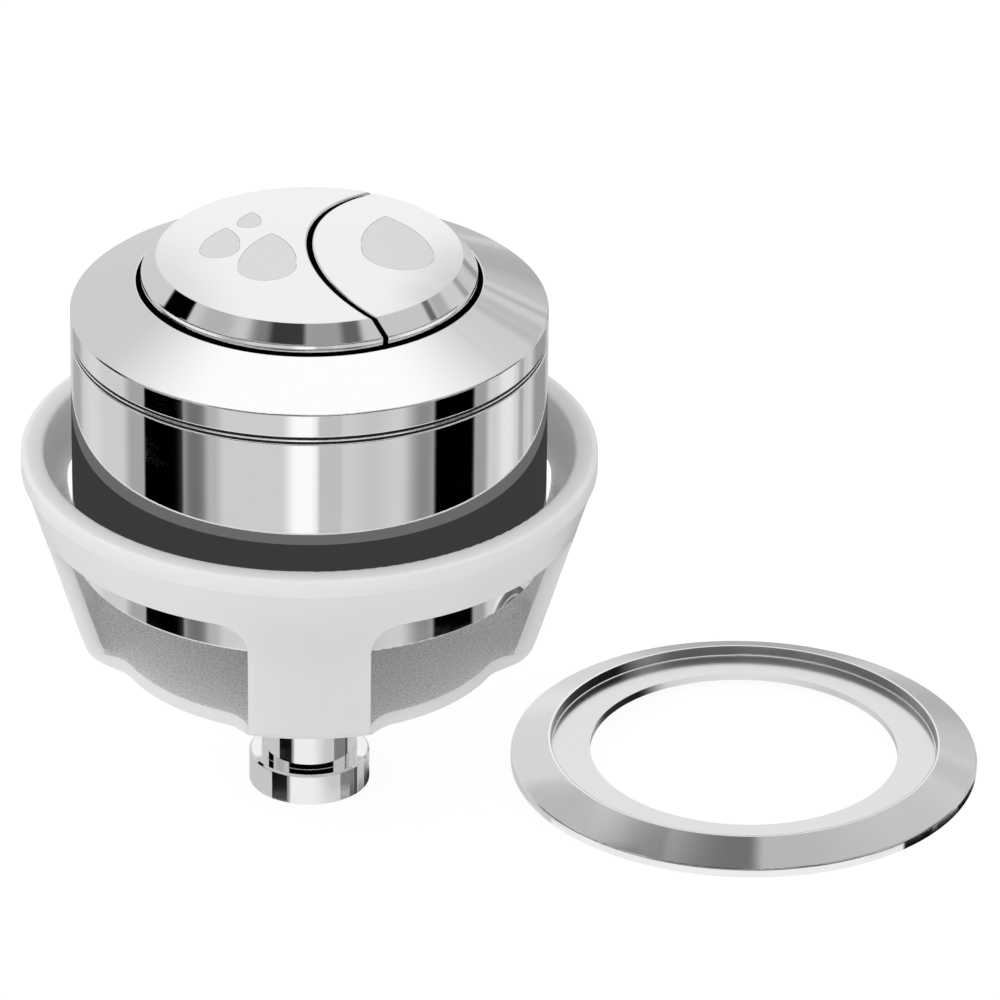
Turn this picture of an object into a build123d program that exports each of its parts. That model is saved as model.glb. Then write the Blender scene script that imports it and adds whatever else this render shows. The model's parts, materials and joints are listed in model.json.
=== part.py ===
from build123d import *
import math
import os

# Two-button cistern actuator: a chrome drum in a white cage, standing on its spigot, with its trim ring
# lying beside it. Millimetres, +Z up along the drum's axis, origin at the centre of the spigot's end face.

# Spigot
collar_radius = 9.3
collar_height = 5.1
neck_radius = 7.4
neck_length = 19.2
shank_radius = 6.0
thread_proud = 1.3

# Drum
drum_radius = 36.15
drum_height = 35.55
drum_standoff = 14.4
drum_wall = 1.8
drum_floor = 2.0

# Joint between drum and bezel: a black gasket with a bright hoop let into its rim
gasket_height = 1.1
gasket_inset = 0.8
hoop_height = 0.3
hoop_depth = 1.0
hoop_inset = 0.1
joint_edge = 0.2

# Bezel
band_height = 3.75
bezel_rise = 4.8
bezel_wall = 1.6
bezel_skirt = 4.0
opening_radius = 26.15
opening_edge = 0.15
throat_depth = 9.0
guide_headroom = 0.8

# Button caps
cap_gap = 0.75
foot_rise = 1.3
land_height = 0.65
groove_height = 0.14
groove_depth = 0.12
land_edge = 0.4
chamfer_run = 2.2
chamfer_rise = 2.6
dome_rise = 2.0
cap_wall = 1.5
cap_skirt = 8.0
slit_gap = 0.8
slit_radius = 28.4
travel = 5.0
stop_clearance = 1.0

# Drop marks let into the caps: half width, place of the round end's centre, lean in degrees
drop_height_ratio = 2.4
mark_depth = 0.3
mark_thickness = 0.25
large_drop_size = 4.45
large_drop_place = (-6.35, -7.2)
large_drop_lean = -3.8
medium_drop_size = 3.05
medium_drop_place = (-13.5, -0.85)
medium_drop_lean = -7.0
small_drop_size = 1.85
small_drop_place = (-9.1, 7.6)
small_drop_lean = -5.5
single_drop_size = 5.45
single_drop_place = (13.3, -2.1)
single_drop_lean = 8.0

# Cage
cage_wall = 2.5
cage_clearance = 0.8
cage_taper = 17.1
plate_thickness = 2.2
ring_overlap = 16.8
ring_depth = 9.7
ring_width = 3.5
lip_height = 3.0
lip_step = 0.2
lip_edge = 0.5
leg_width = 18.4
window_fillet = 5.0
hub_margin = 4.3
hub_fillet = 6.3
foot_fillet = 5.0

# Guide body, carriers, springs and rods
guide_wall = 1.6
guide_foot = 8.5
deck_thickness = 2.0
stem_offset = 13.0
stem_radius = 2.5
boss_wall = 1.6
boss_drop = 2.0
stem_reach = 6.0
carrier_plate = 2.2
web_width = 4.0
web_depth = 2.6
web_inset = 3.6
fork_radius = 5.6
fork_height = 2.0
wire_radius = 0.45
coil_radius = 5.3
coil_turns = 6
tube_radius = 3.4
rod_radius = 1.6
rod_recess = 0.8
rod_clearance = 0.8
flange_radius = 5.0
flange_height = 1.5
arm_height = 2.0
seal_wire = 0.72

# Fasteners
washer_height = 1.0
washer_radius = 9.0
nut_across_flats = 17.0
nut_height = 4.0
nut_chamfer_angle = 30.0
screw_count = 3
screw_radius = 1.5
screw_head_radius = 2.8
screw_head_height = 1.9
screw_slot = 0.7
foot_thickness = 2.0

# Trim ring
trim_place = (67.5, 4.6)
trim_radius = 36.2
trim_lip = 1.4
trim_bevel_run = 5.8
trim_height = 3.8
trim_rim = 0.4
trim_recess = 1.6
trim_hole_radius = 23.9
trim_floor = 1.1
trim_foot_width = 2.6

# Fits, the break of small edges, and how far a cut runs past what it cuts
fit = 0.05
slide_fit = 0.1
loose_fit = 0.2
edge_break = 0.3
cut_margin = 1.0

# Heights, from the spigot's end face upwards
collar_top = collar_height
plate_bottom = collar_top + neck_length
plate_top = plate_bottom + plate_thickness
drum_bottom = plate_top + drum_standoff
floor_top = drum_bottom + drum_floor
drum_top = drum_bottom + drum_height
bezel_bottom = drum_top + gasket_height
band_top = bezel_bottom + band_height
rim_top = band_top + bezel_rise
cap_foot = rim_top + foot_rise
dome_edge = cap_foot + chamfer_rise
dome_top = dome_edge + dome_rise
skirt_bottom = cap_foot - cap_skirt
ring_top = drum_bottom + ring_overlap
lip_bottom = ring_top - lip_height
window_top = ring_top - ring_depth
spigot_top = floor_top + washer_height + nut_height + thread_proud
flange_bottom = spigot_top + travel + rod_clearance
fork_bottom = flange_bottom + flange_height
fork_top = fork_bottom + fork_height
deck_top = fork_top + loose_fit
arm_bottom = fork_top + travel + rod_clearance
carrier_bottom = skirt_bottom + slide_fit
boss_top = carrier_bottom - travel - stop_clearance
guide_top = bezel_bottom - bezel_skirt - guide_headroom

# Radii that follow from the fits
drum_bore = drum_radius - drum_wall
cap_radius = opening_radius - cap_gap
dome_radius = cap_radius - chamfer_run
dome_sphere = (dome_radius**2 + dome_rise**2) / (2 * dome_rise)
dome_centre = dome_top - dome_sphere
taper = math.tan(math.radians(cage_taper))
tube_bore = rod_radius + loose_fit
rod_bore = tube_radius + slide_fit
well_radius = math.hypot(web_inset + web_depth, web_width / 2) + loose_fit
screw_ring = drum_bore - slide_fit - guide_wall - screw_head_radius - loose_fit


def cage_radius(height):
    """Outer radius of the cage's cone at a height."""
    return drum_radius + cage_clearance + cage_wall + taper * (height - drum_bottom)


def ring_edges(shapes, radius, low, high):
    """Circular edges of one radius between two heights."""
    return [
        edge
        for edge in shapes.filter_by(GeomType.CIRCLE)
        if abs(edge.radius - radius) < 0.001 and low - 0.001 <= edge.center().Z <= high + 0.001
    ]


def drop_outline(half_width):
    """Closed outline of a drop: a round end about the origin and two long arcs that meet in the tip."""
    tip = drop_height_ratio * half_width
    side_centre = (tip**2 - half_width**2) / (2 * half_width)
    side_radius = side_centre + half_width
    middle = math.asin(tip / side_radius) / 2
    bulge_x = side_radius * math.cos(middle) - side_centre
    bulge_y = side_radius * math.sin(middle)
    ThreePointArc((0, tip), (bulge_x, bulge_y), (half_width, 0))
    ThreePointArc((half_width, 0), (0, -half_width), (-half_width, 0))
    ThreePointArc((-half_width, 0), (-bulge_x, bulge_y), (0, tip))


def drop_prism(drop, shrink, depth):
    """A drop's outline drawn up through the dome, over a sphere that lies a depth below the dome."""
    half_width, (x, y), lean = drop
    plane = Plane(origin=(x, y, skirt_bottom), x_dir=(1, 0, 0), z_dir=(0, 0, 1)).rotated((0, 0, lean))
    with BuildPart() as prism:
        with BuildSketch(plane):
            with BuildLine():
                drop_outline(half_width - shrink)
            make_face()
        extrude(amount=dome_top - skirt_bottom + cut_margin)
        with Locations((0, 0, dome_centre)):
            Sphere(dome_sphere - depth, mode=Mode.SUBTRACT)
    return prism.part


def hex_nut(height):
    """A nut on the spigot's shank, flats to the sides, chamfered on both faces."""
    with BuildPart() as nut:
        with BuildSketch(Plane.XY.offset(height)):
            RegularPolygon(nut_across_flats / 2, 6, major_radius=False, rotation=30)
            Circle(shank_radius + fit, mode=Mode.SUBTRACT)
        extrude(amount=nut_height)
        with BuildSketch(Plane.XZ):
            with BuildLine():
                corner = nut_across_flats / math.sqrt(3)
                flat = nut_across_flats / 2
                drop = (corner - flat) * math.tan(math.radians(nut_chamfer_angle))
                Polyline(
                    (0, height),
                    (flat, height),
                    (corner, height + drop),
                    (corner, height + nut_height - drop),
                    (flat, height + nut_height),
                    (0, height + nut_height),
                    close=True,
                )
            make_face()
        revolve(axis=Axis.Z, mode=Mode.INTERSECT)
    return nut


def washer(height, radius):
    """A flat washer round the spigot's shank."""
    with BuildPart() as ring:
        with BuildSketch(Plane.XY.offset(height)):
            Circle(radius)
            Circle(shank_radius + loose_fit, mode=Mode.SUBTRACT)
        extrude(amount=washer_height)
    return ring


def coil_spring(x):
    """A compression spring round a carrier's stem, from the deck to the carrier."""
    low = deck_top + wire_radius + fit
    high = carrier_bottom - wire_radius - fit
    with BuildPart() as spring:
        with BuildLine() as path:
            Helix((high - low) / coil_turns, high - low, coil_radius, center=(x, 0, low))
        with BuildSketch(Plane(origin=path.line @ 0, z_dir=path.line % 0)):
            Circle(wire_radius)
        sweep()
    return spring


full_flush_drops = (
    (large_drop_size, large_drop_place, large_drop_lean),
    (medium_drop_size, medium_drop_place, medium_drop_lean),
    (small_drop_size, small_drop_place, small_drop_lean),
)
half_flush_drop = (single_drop_size, single_drop_place, single_drop_lean)

# Spigot: end collar, neck and threaded shank, bored for the push rods

with BuildPart() as spigot:
    with BuildSketch(Plane.XZ):
        with BuildLine():
            seal_seat = rod_bore + 2 * seal_wire + fit
            seal_floor = spigot_top - 2 * seal_wire - fit
            Polyline(
                (rod_bore, 0),
                (collar_radius, 0),
                (collar_radius, collar_top),
                (neck_radius, collar_top),
                (neck_radius, plate_bottom),
                (shank_radius, plate_bottom),
                (shank_radius, spigot_top),
                (seal_seat, spigot_top),
                (seal_seat, seal_floor),
                (rod_bore, seal_floor),
                close=True,
            )
        make_face()
    revolve(axis=Axis.Z)
    chamfer(ring_edges(spigot.edges(), collar_radius, collar_top, collar_top), edge_break)
    chamfer(ring_edges(spigot.edges(), shank_radius, spigot_top, spigot_top), edge_break)

with BuildPart() as rod_seal:
    with Locations((0, 0, spigot_top - seal_wire)):
        Torus(rod_bore + seal_wire, seal_wire - fit)

# Cage: lipped ring, four legs and a hub plate in one moulding

with BuildPart() as cage_window:
    with BuildSketch(Plane.XY.offset(plate_top)):
        with Locations((leg_width / 2, leg_width / 2)):
            Rectangle(drum_radius, drum_radius, align=(Align.MIN, Align.MIN))
    extrude(amount=window_top - plate_top)
    window_head = cage_window.edges().group_by(Axis.Z)[-1]
    fillet([window_head.sort_by(Axis.X)[0], window_head.sort_by(Axis.Y)[0]], window_fillet)

with BuildPart() as plate_pocket:
    with BuildSketch(Plane.XY.offset(plate_bottom - cut_margin)) as pocket_outline:
        with Locations((leg_width / 2, leg_width / 2)):
            Rectangle(drum_radius, drum_radius, align=(Align.MIN, Align.MIN))
        Circle(cage_radius(plate_bottom) - hub_margin, mode=Mode.SUBTRACT)
        fillet(pocket_outline.vertices().sort_by_distance((0, 0, plate_bottom))[:2], hub_fillet)
    extrude(amount=plate_thickness + 2 * cut_margin)

with BuildPart() as cage:
    with BuildSketch(Plane.XZ):
        with BuildLine():
            lip_radius = cage_radius(lip_bottom) + lip_step
            lip_bore = lip_radius - ring_width
            Polyline(
                (shank_radius + slide_fit, plate_bottom),
                (cage_radius(plate_bottom), plate_bottom),
                (cage_radius(lip_bottom), lip_bottom),
                (lip_radius, lip_bottom),
                (lip_radius, ring_top),
                (lip_bore, ring_top),
                (lip_bore - lip_step, lip_bottom),
                (cage_radius(window_top) - cage_wall, window_top),
                (cage_radius(plate_top) - cage_wall, plate_top),
                (shank_radius + slide_fit, plate_top),
                close=True,
            )
        make_face()
    revolve(axis=Axis.Z)
    fillet(ring_edges(cage.edges(), cage_radius(plate_bottom), plate_bottom, plate_bottom), foot_fillet)
    inner_foot_radius = cage_radius(plate_top) - cage_wall
    fillet(ring_edges(cage.edges(), inner_foot_radius, plate_top, plate_top), foot_fillet - cage_wall)
    fillet(ring_edges(cage.edges(), lip_radius, ring_top, ring_top), lip_edge)
    fillet(ring_edges(cage.edges(), lip_bore, ring_top, ring_top), lip_edge)
    with PolarLocations(0, 4):
        add(cage_window.part, mode=Mode.SUBTRACT)
        add(plate_pocket.part, mode=Mode.SUBTRACT)

# Drum: chromed cup with a floor for the spigot and the guide's screws

with BuildPart() as drum:
    with BuildSketch(Plane.XZ):
        with BuildLine():
            Polyline(
                (shank_radius + loose_fit, drum_bottom),
                (drum_radius, drum_bottom),
                (drum_radius, drum_top),
                (drum_bore, drum_top),
                (drum_bore, floor_top),
                (shank_radius + loose_fit, floor_top),
                close=True,
            )
        make_face()
    revolve(axis=Axis.Z)
    fillet(ring_edges(drum.edges(), drum_radius, drum_bottom, drum_bottom), edge_break)
    fillet(ring_edges(drum.edges(), drum_radius, drum_top, drum_top), joint_edge)
    with BuildSketch(Plane.XY.offset(drum_bottom)):
        with PolarLocations(screw_ring, screw_count, start_angle=90):
            Circle(screw_radius + fit)
    extrude(amount=drum_floor, mode=Mode.SUBTRACT)

# Fasteners on the spigot's shank, from the cage plate up to the drum's floor

cage_washer = washer(plate_top, washer_radius)
cage_nut = hex_nut(plate_top + washer_height)
support_nut = hex_nut(drum_bottom - nut_height)
drum_washer = washer(floor_top, washer_radius)
drum_nut = hex_nut(floor_top + washer_height)

# Guide body: cup with a deck, two bored bosses for the stems and a screwed foot

with BuildPart() as guide_body:
    guide_radius = drum_bore - slide_fit
    with BuildSketch(Plane.XZ):
        with BuildLine():
            Polyline(
                (guide_radius - guide_foot, floor_top),
                (guide_radius, floor_top),
                (guide_radius, guide_top),
                (guide_radius - guide_wall, guide_top),
                (guide_radius - guide_wall, deck_top),
                (well_radius, deck_top),
                (well_radius, deck_top - deck_thickness),
                (guide_radius - guide_wall, deck_top - deck_thickness),
                (guide_radius - guide_wall, floor_top + foot_thickness),
                (guide_radius - guide_foot, floor_top + foot_thickness),
                close=True,
            )
        make_face()
    revolve(axis=Axis.Z)
    boss_bottom = deck_top - deck_thickness - boss_drop
    with BuildSketch(Plane.XY.offset(boss_bottom)):
        with Locations((stem_offset, 0), (-stem_offset, 0)):
            Circle(stem_radius + slide_fit + boss_wall)
    extrude(amount=boss_top - boss_bottom)
    with BuildSketch(Plane.XY.offset(boss_bottom)):
        with Locations((stem_offset, 0), (-stem_offset, 0)):
            Circle(stem_radius + slide_fit)
    extrude(amount=boss_top - boss_bottom, mode=Mode.SUBTRACT)
    with BuildSketch(Plane.XY.offset(floor_top)):
        with PolarLocations(screw_ring, screw_count, start_angle=90):
            Circle(screw_radius + loose_fit)
    extrude(amount=foot_thickness, mode=Mode.SUBTRACT)

with BuildPart() as guide_screws:
    with BuildSketch(Plane.XY.offset(drum_bottom + edge_break)):
        with PolarLocations(screw_ring, screw_count, start_angle=90):
            Circle(screw_radius)
    extrude(amount=drum_floor + foot_thickness - edge_break)
    with BuildSketch(Plane.XY.offset(floor_top + foot_thickness)):
        with PolarLocations(screw_ring, screw_count, start_angle=90):
            Circle(screw_head_radius)
    extrude(amount=screw_head_height)
    chamfer(guide_screws.edges().group_by(Axis.Z)[-1], edge_break)
    with BuildSketch(Plane.XY.offset(floor_top + foot_thickness + screw_head_height / 2)):
        with PolarLocations(screw_ring, screw_count, start_angle=90):
            Rectangle(2 * (screw_head_radius + cut_margin), screw_slot)
    extrude(amount=screw_head_height, mode=Mode.SUBTRACT)

# Bezel: band, cone and throat, with a skirt that plugs into the drum over its gasket

with BuildPart() as bezel_gasket:
    hoop_bottom = drum_top + (gasket_height - hoop_height) / 2
    hoop_seat = drum_radius - hoop_inset - hoop_depth
    with BuildSketch(Plane.XY.offset(drum_top)):
        Circle(drum_radius - gasket_inset)
        Circle(drum_bore, mode=Mode.SUBTRACT)
    extrude(amount=gasket_height)
    with BuildSketch(Plane.XY.offset(hoop_bottom)):
        Circle(drum_radius)
        Circle(hoop_seat, mode=Mode.SUBTRACT)
    extrude(amount=hoop_height, mode=Mode.SUBTRACT)

with BuildPart() as spacer_ring:
    with BuildSketch(Plane.XY.offset(hoop_bottom)):
        Circle(drum_radius - hoop_inset)
        Circle(hoop_seat, mode=Mode.SUBTRACT)
    extrude(amount=hoop_height)
    fillet(ring_edges(spacer_ring.edges(), drum_radius - hoop_inset, drum_top, bezel_bottom), fit)

with BuildPart() as bezel_ring:
    slope = bezel_rise / (drum_radius - opening_radius)
    under = bezel_wall * math.hypot(1, slope)
    throat_radius = opening_radius + bezel_wall
    skirt_radius = drum_bore - slide_fit
    skirt_bore = skirt_radius - bezel_wall
    with BuildSketch(Plane.XZ):
        with BuildLine():
            Polyline(
                (drum_radius, bezel_bottom),
                (drum_radius, band_top),
                (opening_radius, rim_top),
                (opening_radius, rim_top - throat_depth),
                (throat_radius, rim_top - throat_depth),
                (throat_radius, rim_top - slope * bezel_wall - under),
                (skirt_bore, rim_top - slope * (skirt_bore - opening_radius) - under),
                (skirt_bore, bezel_bottom - bezel_skirt),
                (skirt_radius, bezel_bottom - bezel_skirt),
                (skirt_radius, bezel_bottom),
                close=True,
            )
        make_face()
    revolve(axis=Axis.Z)
    fillet(ring_edges(bezel_ring.edges(), drum_radius, band_top, band_top), edge_break)
    fillet(ring_edges(bezel_ring.edges(), drum_radius, bezel_bottom, bezel_bottom), joint_edge)
    fillet(ring_edges(bezel_ring.edges(), opening_radius, rim_top, rim_top), opening_edge)

# Button caps: one domed and chamfered shell, parted by a round slit through the axis

with BuildPart() as dome_shell:
    with BuildSketch(Plane.XZ):
        with BuildLine():
            half_angle = math.asin(dome_radius / dome_sphere) / 2
            Line((0, skirt_bottom), (cap_radius, skirt_bottom))
            groove_top = cap_foot - land_height
            groove_floor = cap_radius - groove_depth
            Polyline(
                (cap_radius, skirt_bottom),
                (cap_radius, groove_top - 2 * groove_height),
                (groove_floor, groove_top - groove_height),
                (cap_radius, groove_top),
                (cap_radius, cap_foot),
                (dome_radius, dome_edge),
            )
            ThreePointArc(
                (dome_radius, dome_edge),
                (dome_sphere * math.sin(half_angle), dome_centre + dome_sphere * math.cos(half_angle)),
                (0, dome_top),
            )
            Line((0, dome_top), (0, skirt_bottom))
        make_face()
    revolve(axis=Axis.Z)
    fillet(ring_edges(dome_shell.edges(), cap_radius, cap_foot, cap_foot), land_edge)

with BuildPart() as dome_cavity:
    with BuildSketch(Plane.XZ):
        with BuildLine():
            inner_sphere = dome_sphere - cap_wall
            inner_edge = dome_radius - cap_wall
            edge_height = dome_centre + math.sqrt(inner_sphere**2 - inner_edge**2)
            inner_angle = math.asin(inner_edge / inner_sphere) / 2
            Line((0, skirt_bottom - cap_wall), (cap_radius - cap_wall, skirt_bottom - cap_wall))
            Polyline(
                (cap_radius - cap_wall, skirt_bottom - cap_wall),
                (cap_radius - cap_wall, cap_foot - cap_wall),
                (inner_edge, edge_height),
            )
            ThreePointArc(
                (inner_edge, edge_height),
                (inner_sphere * math.sin(inner_angle), dome_centre + inner_sphere * math.cos(inner_angle)),
                (0, dome_top - cap_wall),
            )
            Line((0, dome_top - cap_wall), (0, skirt_bottom - cap_wall))
        make_face()
    revolve(axis=Axis.Z)

with BuildPart() as full_cavity:
    add(dome_cavity.part)
    with BuildSketch(Plane.XY.offset(skirt_bottom - cap_wall)):
        with Locations((slit_radius, 0)):
            Circle(slit_radius + slit_gap / 2 + cap_wall)
    extrude(amount=dome_top, mode=Mode.SUBTRACT)

with BuildPart() as half_cavity:
    add(dome_cavity.part)
    with BuildSketch(Plane.XY.offset(skirt_bottom - cap_wall)):
        with Locations((slit_radius, 0)):
            Circle(slit_radius - slit_gap / 2 - cap_wall)
    extrude(amount=dome_top, mode=Mode.INTERSECT)


def slit_rim(shapes):
    """The edge where a cap's dome meets the slit, its highest curve."""
    return shapes.filter_by(GeomType.BSPLINE).sort_by(Axis.Z)[-1]


with BuildPart() as full_flush_cap:
    add(dome_shell.part)
    with BuildSketch(Plane.XY.offset(skirt_bottom)):
        with Locations((slit_radius, 0)):
            Circle(slit_radius + slit_gap / 2)
    extrude(amount=dome_top, mode=Mode.SUBTRACT)
    fillet(slit_rim(full_flush_cap.edges()), edge_break)
    add(full_cavity.part, mode=Mode.SUBTRACT)
    for drop in full_flush_drops:
        add(drop_prism(drop, 0, mark_depth), mode=Mode.SUBTRACT)

with BuildPart() as half_flush_cap:
    add(dome_shell.part)
    with BuildSketch(Plane.XY.offset(skirt_bottom)):
        with Locations((slit_radius, 0)):
            Circle(slit_radius - slit_gap / 2)
    extrude(amount=dome_top, mode=Mode.INTERSECT)
    fillet(slit_rim(half_flush_cap.edges()), edge_break)
    add(half_cavity.part, mode=Mode.SUBTRACT)
    add(drop_prism(half_flush_drop, 0, mark_depth), mode=Mode.SUBTRACT)

# Marks: thin drops that lie in the caps' pockets, flush with the domes

with BuildPart() as full_flush_marks:
    for drop in full_flush_drops:
        add(drop_prism(drop, fit, mark_thickness))
    with Locations((0, 0, dome_centre)):
        Sphere(dome_sphere, mode=Mode.INTERSECT)

with BuildPart() as half_flush_mark:
    add(drop_prism(half_flush_drop, fit, mark_thickness))
    with Locations((0, 0, dome_centre)):
        Sphere(dome_sphere, mode=Mode.INTERSECT)

# Carriers: plates that fill the caps' skirts, each with a guided stem and a web to its rod

with BuildPart() as full_flush_carrier:
    with BuildSketch(Plane.XY.offset(carrier_bottom)):
        Circle(cap_radius - cap_wall - slide_fit)
        with Locations((slit_radius, 0)):
            Circle(slit_radius + slit_gap / 2 + cap_wall + slide_fit, mode=Mode.SUBTRACT)
    extrude(amount=carrier_plate)
    with BuildSketch(Plane.XY.offset(deck_top - stem_reach)):
        with Locations((-stem_offset, 0)):
            Circle(stem_radius)
    extrude(amount=carrier_bottom - deck_top + stem_reach)
    with BuildSketch(Plane.XY.offset(fork_bottom)):
        with Locations((-web_inset - web_depth / 2, 0)):
            Rectangle(web_depth, web_width)
    extrude(amount=carrier_bottom - fork_bottom)
    with BuildSketch(Plane.XY.offset(fork_bottom)):
        Circle(fork_radius)
    extrude(amount=fork_height)
    with BuildSketch(Plane.XY.offset(fork_bottom)):
        Circle(tube_bore + loose_fit)
    extrude(amount=fork_height, mode=Mode.SUBTRACT)

with BuildPart() as half_flush_carrier:
    with BuildSketch(Plane.XY.offset(carrier_bottom)):
        Circle(cap_radius - cap_wall - slide_fit)
        with Locations((slit_radius, 0)):
            Circle(slit_radius - slit_gap / 2 - cap_wall - slide_fit, mode=Mode.INTERSECT)
    extrude(amount=carrier_plate)
    with BuildSketch(Plane.XY.offset(deck_top - stem_reach)):
        with Locations((stem_offset, 0)):
            Circle(stem_radius)
    extrude(amount=carrier_bottom - deck_top + stem_reach)
    with BuildSketch(Plane.XY.offset(arm_bottom)):
        with Locations((web_inset + web_depth / 2, 0)):
            Rectangle(web_depth, web_width)
    extrude(amount=carrier_bottom - arm_bottom)
    with BuildSketch(Plane.XY.offset(arm_bottom)):
        with Locations((-rod_radius, 0)):
            Rectangle(rod_radius + web_inset + web_depth, web_width, align=(Align.MIN, Align.CENTER))
    extrude(amount=arm_height)

full_flush_spring = coil_spring(-stem_offset)
half_flush_spring = coil_spring(stem_offset)

# Push rods: a flanged tube for the full flush, a plain rod inside it for the half flush

with BuildPart() as full_flush_rod:
    with BuildSketch(Plane.XY.offset(rod_recess)):
        Circle(tube_radius)
    extrude(amount=fork_bottom - rod_recess)
    with BuildSketch(Plane.XY.offset(flange_bottom)):
        Circle(flange_radius)
    extrude(amount=flange_height)
    with BuildSketch(Plane.XY.offset(rod_recess)):
        Circle(tube_bore)
    extrude(amount=fork_bottom - rod_recess, mode=Mode.SUBTRACT)

with BuildPart() as half_flush_rod:
    with BuildSketch(Plane.XY.offset(rod_recess)):
        Circle(rod_radius)
    extrude(amount=arm_bottom - rod_recess)
    chamfer(half_flush_rod.edges().group_by(Axis.Z)[0], edge_break)

# Trim ring: turned ring with a bevelled rim, a recess and a floor, relieved underneath

with BuildPart() as trim_ring:
    rim_radius = trim_radius - trim_bevel_run
    recess_radius = rim_radius - trim_rim
    recess_floor = trim_height - trim_recess
    relief_height = recess_floor - trim_floor
    with BuildSketch(Plane(origin=(trim_place[0], trim_place[1], 0), x_dir=(1, 0, 0), z_dir=(0, -1, 0))):
        with BuildLine():
            Polyline(
                (trim_radius, 0),
                (trim_radius, trim_lip),
                (rim_radius, trim_height),
                (recess_radius, trim_height),
                (recess_radius, recess_floor),
                (trim_hole_radius, recess_floor),
                (trim_hole_radius, relief_height),
                (recess_radius, relief_height),
                (trim_radius - trim_foot_width, 0),
                close=True,
            )
        make_face()
    revolve(axis=Axis((trim_place[0], trim_place[1], 0), (0, 0, 1)))
    fillet(ring_edges(trim_ring.edges(), trim_radius, trim_lip, trim_lip), edge_break)
    fillet(ring_edges(trim_ring.edges(), rim_radius, trim_height, trim_height), edge_break)
    fillet(ring_edges(trim_ring.edges(), recess_radius, recess_floor, recess_floor), edge_break)

# One STEP file for each piece

pieces = {
    "bezel_ring": bezel_ring,
    "spacer_ring": spacer_ring,
    "bezel_gasket": bezel_gasket,
    "drum": drum,
    "guide_body": guide_body,
    "guide_screws": guide_screws,
    "full_flush_cap": full_flush_cap,
    "half_flush_cap": half_flush_cap,
    "full_flush_marks": full_flush_marks,
    "half_flush_mark": half_flush_mark,
    "full_flush_carrier": full_flush_carrier,
    "half_flush_carrier": half_flush_carrier,
    "full_flush_spring": full_flush_spring,
    "half_flush_spring": half_flush_spring,
    "full_flush_rod": full_flush_rod,
    "half_flush_rod": half_flush_rod,
    "spigot": spigot,
    "rod_seal": rod_seal,
    "cage": cage,
    "cage_washer": cage_washer,
    "cage_nut": cage_nut,
    "support_nut": support_nut,
    "drum_washer": drum_washer,
    "drum_nut": drum_nut,
    "trim_ring": trim_ring,
}

os.makedirs("parts", exist_ok=True)
for name, piece in pieces.items():
    piece.part.label = name
    export_step(piece.part, f"parts/{name}.step")
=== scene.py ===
"""Dresses a two-button cistern actuator in chrome, plastic, steel and rubber, in a soft studio."""

import json
import math
from typing import NamedTuple

import bmesh
import bpy
from bpy.props import FloatProperty, FloatVectorProperty, IntProperty, PointerProperty
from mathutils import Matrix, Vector


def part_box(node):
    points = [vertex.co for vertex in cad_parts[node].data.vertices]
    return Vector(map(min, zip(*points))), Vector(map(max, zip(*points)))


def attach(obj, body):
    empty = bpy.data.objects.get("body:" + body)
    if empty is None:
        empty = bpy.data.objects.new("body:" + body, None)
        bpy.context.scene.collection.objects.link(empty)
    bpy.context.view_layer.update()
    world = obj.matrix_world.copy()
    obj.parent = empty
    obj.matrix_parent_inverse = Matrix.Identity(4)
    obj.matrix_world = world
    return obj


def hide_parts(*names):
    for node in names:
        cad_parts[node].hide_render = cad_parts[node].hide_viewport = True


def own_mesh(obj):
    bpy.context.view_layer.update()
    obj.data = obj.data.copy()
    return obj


bl_info = {
    "name": "Cistern actuator finishes",
    "version": (1, 0, 0),
    "blender": (4, 5, 0),
    "location": "3D View > Sidebar > Actuator",
    "description": "Materials, thread and studio for a two-button cistern actuator",
    "category": "Object",
}

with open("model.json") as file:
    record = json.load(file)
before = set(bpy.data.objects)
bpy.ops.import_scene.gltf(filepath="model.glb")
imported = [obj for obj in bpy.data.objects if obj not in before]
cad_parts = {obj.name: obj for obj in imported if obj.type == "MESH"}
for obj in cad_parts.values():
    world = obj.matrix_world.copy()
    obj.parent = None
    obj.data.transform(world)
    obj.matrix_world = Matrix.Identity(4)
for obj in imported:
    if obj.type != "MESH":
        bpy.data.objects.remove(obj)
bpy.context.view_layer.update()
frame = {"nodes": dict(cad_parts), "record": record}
nodes = frame["nodes"]
millimetre = 0.001

# Groups of CAD pieces that share a finish

POLISHED = ("bezel_ring", "spacer_ring", "drum", "spigot")
CAPS = ("full_flush_cap", "half_flush_cap")
MARKS = ("full_flush_marks", "half_flush_mark")
GUIDES = ("guide_body", "full_flush_carrier", "half_flush_carrier", "full_flush_rod")
STEEL = (
    "guide_screws", "cage_washer", "cage_nut", "support_nut",
    "drum_washer", "drum_nut", "half_flush_rod",
)
SEALS = ("rod_seal", "bezel_gasket")

# The cage's inside: floor, top of the windows, slope of the wall and its radius at height 0, in metres

CAGE_FLOOR = 0.0265
CAGE_WINDOW_TOP = 0.046
CAGE_SLOPE = math.tan(math.radians(17.1))
CAGE_BORE = 0.0370 - 0.0409 * CAGE_SLOPE

# The darkest and lightest grey of the painted shade inside the cage, speckled

PAINTED_SHADE_GREYS = ((0.5, 0.5, 0.5), (0.84, 0.84, 0.84))

# The caps' rim from its start to its full rounding, and the curved slit between the caps, in metres

CAP_RIM = (0.0224, 0.0228)
SLIT_RADIUS = 0.0284
SLIT_EDGES = (0.0013, 0.0010)

# The spigot's shank in metres, and the thread's section as shares of its depth and pitch

SHANK_RADIUS = 0.006
THREAD_SECTION = ((-0.1, -0.45), (1.0, -0.06), (1.0, 0.06), (-0.1, 0.45))

# The trim ring's recess, hole and lip, in metres

RECESS_RADIUS = 0.030
RECESS_FLOOR = 0.0022
HOLE_RADIUS = 0.02405
LIP_RADIUS = 0.0362
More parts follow.
